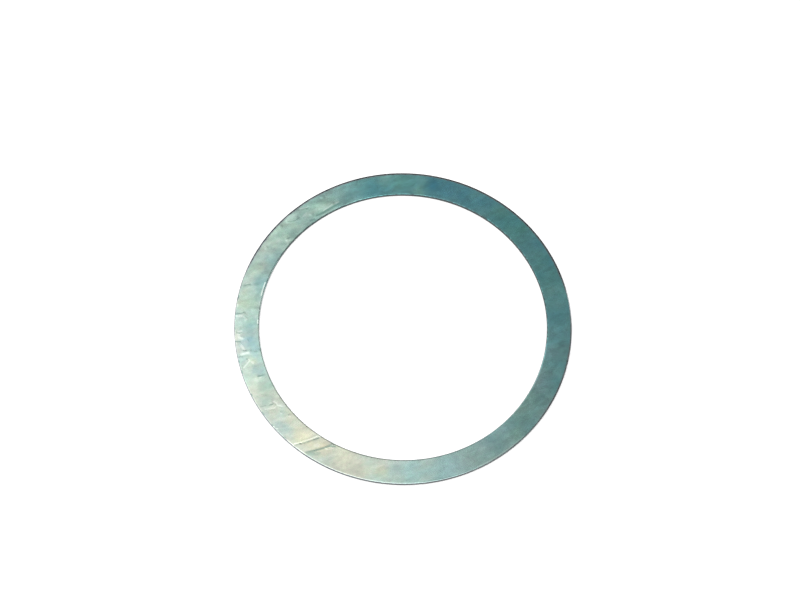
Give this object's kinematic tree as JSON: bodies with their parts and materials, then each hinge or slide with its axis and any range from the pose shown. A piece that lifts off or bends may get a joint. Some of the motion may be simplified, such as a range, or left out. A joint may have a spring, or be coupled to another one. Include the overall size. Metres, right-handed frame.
{
  "type": "shim ring",
  "caption": "Thin flat ring punched from sheet steel, with a wide bore and a narrow band, that takes up axial play on a shaft or in a housing.",
  "frame": {"origin": "on the ring's axis, in the plane of the lower face that it lies on", "axes": "+Z along the ring's axis, out of the upper face, whose two edges are rolled over"},
  "size_m": [0.068, 0.068, 0.0008],
  "materials": {
    "plated_steel": "zinc plating with a blue-green passive film over cold-rolled strip, satin"
  },
  "bodies": {
    "root": {"shim_ring": "plated_steel"}
  },
  "joints": []
}
